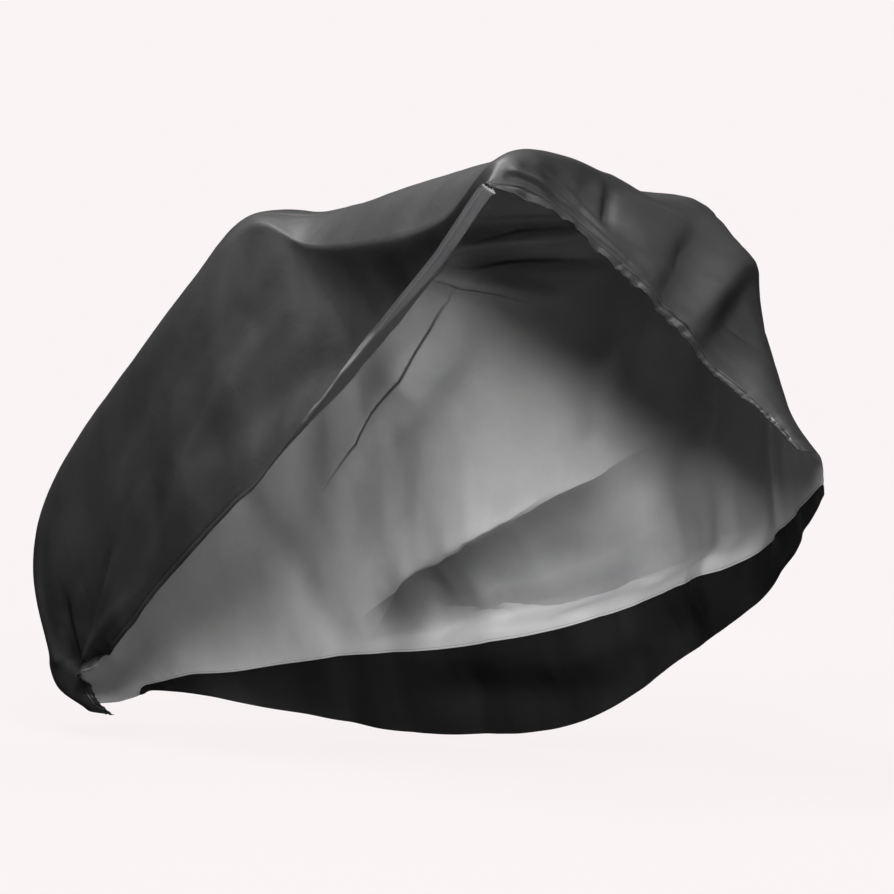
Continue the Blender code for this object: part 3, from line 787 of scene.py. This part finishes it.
# %% The wear
def wear_group():
    """Cloudy patches, as dust and rubbing leave them."""
    tree, given, result = group("cloudy_wear", "Mask", {"Scale": 6.0})
    noise = node(tree, "TexNoise", {"Vector": given["Place"], "Scale": given["Scale"], "Detail": 6.0,
                                    "Roughness": 0.62})
    tree.links.new(mapped(tree, noise.outputs[0], {"From Min": 0.3, "From Max": 0.7}), result)
    return tree


# %% [markdown]
# Where the cloth is folded hard, the shade in the crease is painted on the silver coating as a thin dark
# line: painted shade. A mesh fine enough to draw it would be very large, so the line is a group too: it
# measures how far a place on the cloth, in the metres of its UV map, is from one straight stretch of the
# crease. The same group, made wide and kept to one side, paints the shade beside a fold that overhangs.

# %% The painted crease shade
def vector_maths(tree, operation, a, b, result=0):
    """The result of a sum of two vectors."""
    return node(tree, "VectorMath", {0: a, 1: b}, operation=operation).outputs[result]


def painted_shade_group():
    """One straight stretch of painted crease shade, drawn on both sides of its line or on one, with a
    strength at each end.
    """
    numbers = {"Width": 0.003, "One side": 0.0, "Strength at start": 1.0, "Strength at end": 1.0}
    tree, given, result = group("painted_crease_shade", "Mask", numbers, ("Place", "Start", "Run"))
    run = given["Run"]
    away = vector_maths(tree, "SUBTRACT", given["Place"], given["Start"])
    ahead = vector_maths(tree, "DOT_PRODUCT", away, run, "Value")
    squared = vector_maths(tree, "DOT_PRODUCT", run, run, "Value")
    share = node(tree, "Clamp", {"Value": maths(tree, "DIVIDE", ahead, squared)}).outputs[0]
    nearest = node(tree, "VectorMath", {0: run, "Scale": share}, operation="SCALE").outputs[0]
    distance = vector_maths(tree, "DISTANCE", away, nearest, "Value")
    line = mapped(tree, distance, {"From Min": 0.0, "From Max": given["Width"], "To Min": 1.0, "To Max": 0.0},
                  interpolation_type="SMOOTHSTEP")
    strength = mapped(tree, share, {"To Min": given["Strength at start"], "To Max": given["Strength at end"]})
    turn = node(tree, "SeparateXYZ", {"Vector": vector_maths(tree, "CROSS_PRODUCT", away, run)})
    beyond = maths(tree, "LESS_THAN", turn.outputs["Z"])
    shown = maths(tree, "SUBTRACT", 1.0, maths(tree, "MULTIPLY", beyond, given["One side"]))
    tree.links.new(maths(tree, "MULTIPLY", maths(tree, "MULTIPLY", line, strength), shown), result)
    return tree


WEAVE, CRINKLES, WEAR, PAINTED_SHADE_GROUP = weave_group(), crinkle_group(), wear_group(), painted_shade_group()
print("node groups:", [tree.name for tree in (WEAVE, CRINKLES, WEAR, PAINTED_SHADE_GROUP)])

# %% Where shade is painted along the creases
PAINTED_CREASE_SHADES = (
    # width, one side, strength, places along the crease
    # thin: painted shade in the creases of the folds
    (0.0042, 0, 1.0, ((9.70, 1.160), (9.36, 1.260), (8.86, 1.375), (7.70, 1.500), (6.85, 1.560))),
    (0.0050, 0, 0.8, ((10.60, 1.672), (9.60, 1.737), (8.67, 1.800), (7.55, 1.850))),
    (0.0090, 0, 0.8, ((9.60, 1.100), (10.17, 1.112), (10.90, 1.120))),
    (0.0060, 0, 0.8, ((9.42, 1.130), (9.83, 1.170), (10.35, 1.215))),
    (0.0070, 0, 0.7, ((9.80, 1.060), (10.30, 1.035), (10.95, 1.045))),
    # wide, and on one side only: painted shade from under the overhanging fold down to the bright strip
    (0.1900, 1, 0.8, ((11.70, 1.590), (10.60, 1.672), (9.60, 1.737), (8.67, 1.800), (7.55, 1.850),
                      (6.60, 1.900))),
    (0.1000, 1, 0.5, ((6.90, 1.905), (7.80, 1.912), (9.00, 1.926), (10.20, 1.926), (11.20, 1.918),
                      (12.40, 1.900))),
)


def cloth_uv(first, last):
    """Where each point of a sheet lies on the flat cloth, in metres: along it, and across from its middle."""
    points = cover[:, first:last + 1]
    middle = (last - first) // 2
    across = along_rows(points)
    along = np.repeat(travelled(points[:, middle])[:, None], points.shape[1], axis=1)
    return np.stack([along, across - across[:, middle, None]], axis=-1)


far_flat = np.zeros((*cover.shape[:2], 2))
far_flat[:, RIDGE:SKIRT_SEAM + 1] = cloth_uv(RIDGE, SKIRT_SEAM)


def painted_shade_mask(tree, place):
    """All the painted crease shade on the silver coating, as one mask that is 1 where it is darkest."""
    mask = 0.0
    for width, one_side, strength, places in PAINTED_CREASE_SHADES:
        corners = [Vector((*place_on(far_flat, corner), 0.0)) for corner in places]
        strengths = [0.0] + [strength] * (len(corners) - 2) + [0.0]
        for k in range(len(corners) - 1):
            values = {"Place": place, "Start": corners[k], "Run": corners[k + 1] - corners[k],
                      "Width": width, "One side": one_side, "Strength at start": strengths[k],
                      "Strength at end": strengths[k + 1]}
            stretch = node(tree, "Group", values, node_tree=PAINTED_SHADE_GROUP)
            mask = maths(tree, "MAXIMUM", mask, stretch.outputs["Mask"])
    return mask


# each of these creases carries painted shade
print(len(PAINTED_CREASE_SHADES), "creases with cracks")

# %% [markdown]
# ## The finishes
#
# Outside, the coating is satin black: it takes a broad soft shine and hardly any colour. Inside it is a
# silver film, mostly paint with some metal in it. On the near panel a darker copy of it is painted shade
# for the turned-out cuff. The skirt is bare cloth, dull on both faces. They differ in a few numbers only,
# so one function builds them all.

# %% Cloth finishes
SHINE = 0.36
PAINTED_SHADE_SHARE = 0.85                          # how far the painted shade darkens the coating, towards the colour below
PAINTED_SHADE_COLOUR = (0.006, 0.006, 0.006)       # and the colour of that painted shade
CREASE_GROOVE_DEPTH = 0.0012


def mixed(tree, factor, first, second):
    """The first colour turned into the second by a factor."""
    mix = node(tree, "Mix", {"Factor": factor}, data_type="RGBA")
    ends = [socket for socket in mix.inputs if socket.type == "RGBA"]
    if isinstance(first, bpy.types.NodeSocket):
        tree.links.new(first, ends[0])
    else:
        ends[0].default_value = (*first, 1)
    ends[1].default_value = (*second, 1)
    return [socket for socket in mix.outputs if socket.type == "RGBA"][0]


def cloth_finish(name, dark, light, smoothest, roughest, metallic, threads, weave_depth, crinkle_depth,
                 crinkles, painted_creases=False):
    """A cloth: two colours and two roughnesses that its wear mixes, its weave, crinkles and painted crease
    shade.
    """
    material = bpy.data.materials.new(name)
    material.use_nodes = True
    tree = material.node_tree
    shader = tree.nodes["Principled BSDF"]
    shader.inputs["Metallic"].default_value = metallic
    shader.inputs["Specular IOR Level"].default_value = SHINE
    place = node(tree, "TexCoord").outputs
    wear = node(tree, "Group", {"Place": place["Object"]}, node_tree=WEAR).outputs["Mask"]
    weave = node(tree, "Group", {"Place": place["UV"], "Threads": threads}, node_tree=WEAVE)
    crinkle = node(tree, "Group", {"Place": place["Object"], "Scale": crinkles}, node_tree=CRINKLES)
    base = mixed(tree, wear, dark, light)
    reliefs = [(weave_depth, weave.outputs["Height"], False),
               (crinkle_depth, crinkle.outputs["Height"], False)]
    # painted shade along the creases, mixed into the base colour, with a groove bumped along them
    if painted_creases:
        mask = painted_shade_mask(tree, place["UV"])
        base = mixed(tree, maths(tree, "MULTIPLY", mask, PAINTED_SHADE_SHARE), base, PAINTED_SHADE_COLOUR)
        reliefs.append((CREASE_GROOVE_DEPTH, mask, True))
    tree.links.new(base, shader.inputs["Base Color"])
    tree.links.new(mapped(tree, wear, {"To Min": smoothest, "To Max": roughest}), shader.inputs["Roughness"])
    surface = {}
    for depth, height, inwards in reliefs:
        bump = node(tree, "Bump", {"Strength": 1.0, "Distance": depth, "Height": height, **surface},
                    invert=inwards)
        surface = {"Normal": bump.outputs["Normal"]}
    tree.links.new(surface["Normal"], shader.inputs["Normal"])
    return material


COATED = (1800, 0.00002)                    # threads in a metre, and the depth of the weave under a coating
BLACK_COATING = cloth_finish("black_coating", (0.009,) * 3, (0.015,) * 3, 0.50, 0.62, 0.0,
                             *COATED, 0.0006, 22)
SILVER_COATING = cloth_finish("silver_coating", (0.44, 0.44, 0.445), (0.56, 0.56, 0.56), 0.50, 0.62, 0.25,
                              *COATED, 0.0004, 16, painted_creases=True)
# a darker copy of the silver coating: painted shade on the near panel's inside, seen as the cuff
NEAR_INSIDE_PAINTED_SHADE = cloth_finish("painted_shade_silver_coating", (0.10, 0.10, 0.105), (0.14, 0.14, 0.14), 0.54, 0.66, 0.20,
                           *COATED, 0.0004, 16)
SKIRT_CLOTH = cloth_finish("skirt_cloth", (0.005,) * 3, (0.008,) * 3, 0.62, 0.74, 0.0,
                           1500, 0.00003, 0.0006, 18)
THREAD_FINISH = cloth_finish("thread", (0.012,) * 3, (0.024,) * 3, 0.5, 0.6, 0.0,
                             4000, 0.00003, 0.0001, 300)

# %% [markdown]
# ## The pieces of cloth
#
# The grid is cut at the two seams into three sheets, with each face wound so that it looks outwards. The UV
# map is in metres along the cloth, so the weave has its real size. Solidify then gives the cloth its
# thickness. Its inner face takes the second material, which is how one sheet gets a black outside and a
# silver inside.

# %% Sheets
CLOTH = 0.0010          # how thick the cloth is


def sheet(name, first, last, finishes):
    """One sheet of cloth: the columns of the grid from first to last, with its finish outside and inside."""
    points = cover[:, first:last + 1]
    rows, columns = points.shape[:2]
    corner = (np.arange(rows - 1)[:, None] * columns + np.arange(columns - 1)).ravel()
    faces = np.stack([corner, corner + columns, corner + columns + 1, corner + 1], axis=1)
    mesh = bpy.data.meshes.new(name)
    mesh.from_pydata(points.reshape(-1, 3).tolist(), [], faces.tolist())
    flat = cloth_uv(first, last)
    layer = mesh.uv_layers.new(name="cloth")
    layer.data.foreach_set("uv", flat.reshape(-1, 2)[faces.ravel()].ravel())
    mesh.shade_smooth()
    for finish in finishes:
        mesh.materials.append(finish)
    area = sum(face.area for face in mesh.polygons)
    print(name, "area", round(area, 3), "m2, length", round(float(flat[..., 0].max()), 2),
          "m, widest", round(float(np.ptp(flat[..., 1], axis=1).max()), 2), "m")
    return placed(name, mesh)


near_cloth = sheet("near_cloth", 0, RIDGE, (BLACK_COATING, NEAR_INSIDE_PAINTED_SHADE))
far_cloth = sheet("far_cloth", RIDGE, SKIRT_SEAM, (BLACK_COATING, SILVER_COATING))
skirt_piece = sheet("skirt_cloth_piece", SKIRT_SEAM, FAR_HEM, (SKIRT_CLOTH, SKIRT_CLOTH))

# %% How far the cloth is from the solids it replaces
EVERY = 11              # of so many points, one is measured
deps = bpy.context.evaluated_depsgraph_get()
for cloth, panel in ((near_cloth, "near_panel"), (far_cloth, "far_panel"), (skirt_piece, "far_skirt")):
    solid = BVHTree.FromObject(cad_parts[panel], deps)
    gaps = [solid.find_nearest(vertex.co)[3] * MM for vertex in list(cloth.data.vertices)[::EVERY]]
    middle = round(float(np.median(gaps)), 1)
    print(panel, "to its cloth: middle", middle, "mm, most", round(max(gaps), 1), "mm")

# %% [markdown]
# ## Stitches
#
# A row of stitches is one thread seen again and again, so a single stitch of ten points is built and
# repeated along a line. It lies on the cloth, a little sunk at both ends. The hem and the skirt's seam have
# a row on each face of the cloth, and the ridge seam has a row on each side of it, on the outer face.

# %% A row of stitches
STITCH = 0.0030
STITCH_SPACING = 0.0044
THREAD = 0.0009
ABOVE_CLOTH = 0.0001    # how far the middle of a stitch lies above the cloth
SUNK = 0.0003           # and how far its ends lie below its middle
BESIDE_SEAM = 0.004
RINGS_AT = 0.25         # its two rings of four points are at this share of its length from its middle
STITCH_POINTS = 10


def row_at(distance):
    """The line at a distance from the near hem, and the way it faces."""
    both = np.concatenate([cover, facing], axis=-1)
    line = np.array([at_distances(row[:, :3], [distance], row)[0] for row in both])
    return line[:, :3], unit(line[:, 3:])


def row_beside(column, distance):
    """The line beside a column of the grid, at a distance across it, and the way it faces."""
    step = 1 if distance > 0 else -1
    across_line = unit(cover[:, column + step] - cover[:, column])
    return cover[:, column] + across_line * abs(distance), facing[:, column + 2 * step]


def stitch_row(line, out, side):
    """Points and faces of a row of stitches on the outer (side 1) or inner (side -1) face of the cloth."""
    distances = np.arange(STITCH_SPACING, travelled(line)[-1] - STITCH_SPACING, STITCH_SPACING)
    middle = at_distances(line, distances)
    ahead = unit(at_distances(line, distances + STITCH / 2) - at_distances(line, distances - STITCH / 2))
    out = unit(at_distances(line, distances, out)) * side
    across_thread = unit(np.cross(ahead, out))
    centre = middle + out * (CLOTH / 2 + ABOVE_CLOTH)
    points = [centre - ahead * STITCH / 2 - out * SUNK]
    for shift in (-RINGS_AT, RINGS_AT):
        for a, b in ((1, 0), (0, 1), (-1, 0), (0, -1)):
            points.append(centre + ahead * STITCH * shift + (across_thread * a + out * b) * THREAD / 2)
    points.append(centre + ahead * STITCH / 2 - out * SUNK)
    faces = []
    for k in range(4):
        m = (k + 1) % 4
        faces += [(0, 1 + m, 1 + k, 1 + k), (1 + k, 1 + m, 5 + m, 5 + k), (9, 5 + k, 5 + m, 5 + m)]
    return np.stack(points, axis=1), faces


def stitches(name, rows):
    """One piece with all the rows of stitches along a hem or seam."""
    points, faces = [], []
    for line, out, side in rows:
        row, pattern = stitch_row(line, out, side)
        for stitch in row:
            faces += [tuple(dict.fromkeys(len(points) + c for c in face)) for face in pattern]
            points += stitch.tolist()
    mesh = bpy.data.meshes.new(name)
    mesh.from_pydata(points, [], faces)
    mesh.shade_smooth()
    mesh.materials.append(THREAD_FINISH)
    print(name, len(points) // STITCH_POINTS, "stitches")
    return placed(name, mesh)


stitched = np.searchsorted(STATION, LAST_STITCHED)
hem_line, hem_out = row_at(HEM_FOLD)
hem_stitches = stitches("near_hem_stitches", [(hem_line, hem_out, 1), (hem_line, hem_out, -1)])
ridge_rows = [[part[:stitched] for part in row_beside(RIDGE, side)] for side in (-BESIDE_SEAM, BESIDE_SEAM)]
ridge_stitches = stitches("ridge_stitches", [(line, out, 1) for line, out in ridge_rows])
skirt_stitches = stitches("skirt_seam_stitches", [(*row_beside(SKIRT_SEAM, -BESIDE_SEAM), 1),
                                                  (*row_beside(SKIRT_SEAM, -BESIDE_SEAM), -1)])

# %% Thickness
ROUND_UP_TO = 70        # degrees between two faces: their edge looks round up to here, and sharp beyond it
for cloth in (near_cloth, far_cloth, skirt_piece):
    thick = cloth.modifiers.new("thickness", "SOLIDIFY")
    thick.thickness = CLOTH
    thick.offset = 0.0
    thick.use_even_offset = False
    thick.material_offset = 1
    bpy.context.view_layer.objects.active = cloth
    bpy.ops.object.modifier_apply(modifier=thick.name)
    bpy.ops.object.select_all(action="DESELECT")
    cloth.select_set(True)
    bpy.ops.object.shade_smooth_by_angle(angle=math.radians(ROUND_UP_TO))
    print(cloth.name, sum(len(face.vertices) - 2 for face in cloth.data.polygons), "triangles")

# %% [markdown]
# ## What each piece rides on
#
# Each piece rides on the one body, and the solids of the imported model that the cloth stands for are
# hidden. The panels aren't rectangles, and the near panel's cloth is larger than it looks, because of the
# cloth in its gathers.

# %% Riding, and hiding the solids
for piece, slot in ((near_cloth, "coated_cloth"), (far_cloth, "coated_cloth"), (skirt_piece, "skirt_cloth"),
                    (hem_stitches, "coated_cloth"), (ridge_stitches, "coated_cloth"),
                    (skirt_stitches, "skirt_cloth")):
    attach(piece, "root")
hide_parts("near_panel")
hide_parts("far_panel")
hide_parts("far_skirt")

# %% [markdown]
# ## Floor and light
#
# Two softboxes hang high, one on the left and one on the camera's side, and shine on the black coating:
# cloth that faces up is bright, and cloth that faces down is dark. Two more send light in under the lifted
# side. The lower one is narrow and looks at the upper part of the inside. The fifth stands behind. Those
# three give light but no shine, because their reflections would spoil the black. The floor is pale and
# glows for the camera, which makes it one with the backdrop, but it throws little light up at the cloth.
# Only near the cover does it take a faint shadow.

# %% Stage
PALE = (0.956, 0.905, 0.905)
FLOOR_RADIUS = 40.0
FLOOR_GREY = (0.30, 0.285, 0.285)
SHADED = (1.0, 3.5)     # from here out to here, the floor's own shading fades into the glow
LEAST_GLOW = 0.93
BOUNCE = (0.03, 0.03, 0.03)     # the floor, as the cloth sees it
AROUND = 0.05           # and the brightness of all the rest


def floor_finish():
    """A pale floor that fades into the backdrop."""
    material = bpy.data.materials.new("pale_floor")
    material.use_nodes = True
    tree = material.node_tree
    tree.nodes.remove(tree.nodes["Principled BSDF"])
    place = node(tree, "TexCoord").outputs["Object"]
    radius = node(tree, "VectorMath", {0: place}, operation="LENGTH").outputs["Value"]
    fade = mapped(tree, radius, {"From Min": SHADED[0], "From Max": SHADED[1], "To Min": LEAST_GLOW})
    dull = node(tree, "BsdfDiffuse", {"Color": (*FLOOR_GREY, 1)})
    glow = node(tree, "Emission", {"Color": (*PALE, 1), "Strength": 1.0})
    near = node(tree, "MixShader", {0: fade, 1: dull.outputs[0], 2: glow.outputs[0]})
    dark = node(tree, "BsdfDiffuse", {"Color": (*BOUNCE, 1)})
    seen = node(tree, "LightPath").outputs["Is Camera Ray"]
    mix = node(tree, "MixShader", {0: seen, 1: dark.outputs[0], 2: near.outputs[0]})
    tree.links.new(mix.outputs[0], tree.nodes["Material Output"].inputs["Surface"])
    return material


bpy.ops.object.select_all(action="DESELECT")
bpy.ops.mesh.primitive_circle_add(vertices=96, radius=FLOOR_RADIUS, fill_type="NGON",
                                  location=(0, 0, ORIGIN[2]))
floor = bpy.context.active_object
floor.name = "floor"
floor.data.materials.append(floor_finish())
floor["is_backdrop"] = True

# %% Backdrop
world = bpy.data.worlds.new("backdrop")
bpy.context.scene.world = world
world.use_nodes = True
tree = world.node_tree
seen = node(tree, "LightPath").outputs["Is Camera Ray"]
dim = tree.nodes["Background"]
dim.inputs["Color"].default_value = (1, 1, 1, 1)
dim.inputs["Strength"].default_value = AROUND
pale = node(tree, "Background", {"Color": (*PALE, 1), "Strength": 1.0})
mix = node(tree, "MixShader", {0: seen, 1: dim.outputs[0], 2: pale.outputs[0]})
tree.links.new(mix.outputs[0], tree.nodes["World Output"].inputs["Surface"])
bpy.context.scene.view_settings.view_transform = "Standard"

# %% Softboxes
LIGHTS = (
    # name, azimuth, elevation, distance, size, height it looks at, spread, watts, whether it shines
    ("overhead", -50, 70, 3.6, 2.2, 0.50, 180, 260, True),
    ("front_high", 42, 46, 4.4, 1.8, 0.50, 180, 330, True),
    ("inside_high", 36, 30, 4.4, 1.2, 0.50, 180, 140, False),
    ("inside_low", 57, 6, 4.6, 1.6, 1.05, 20, 4.4, False),
    ("behind", 205, 14, 4.8, 2.4, 0.50, 180, 420, False),
)
for name, azimuth, elevation, distance, size, height, spread, watts, shines in LIGHTS:
    lamp = bpy.data.lights.new(name, "AREA")
    lamp.shape = "DISK"
    lamp.size = size
    lamp.energy = watts
    lamp.spread = math.radians(spread)
    box = placed(name, lamp)
    aim = np.array((*CAMERA_TARGET[:2], height))
    looking(box, aim + distance * direction(azimuth, elevation), aim)
    box.visible_glossy = shines
    print(name, watts, "W")

# %% Boxes of the solids and of the cloth
cloth_low, cloth_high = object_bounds()
larger = (cloth_high - cloth_low) - (cad_high - cad_low)
print("cloth is larger by", [round(side * MM, 1) for side in larger], "mm")
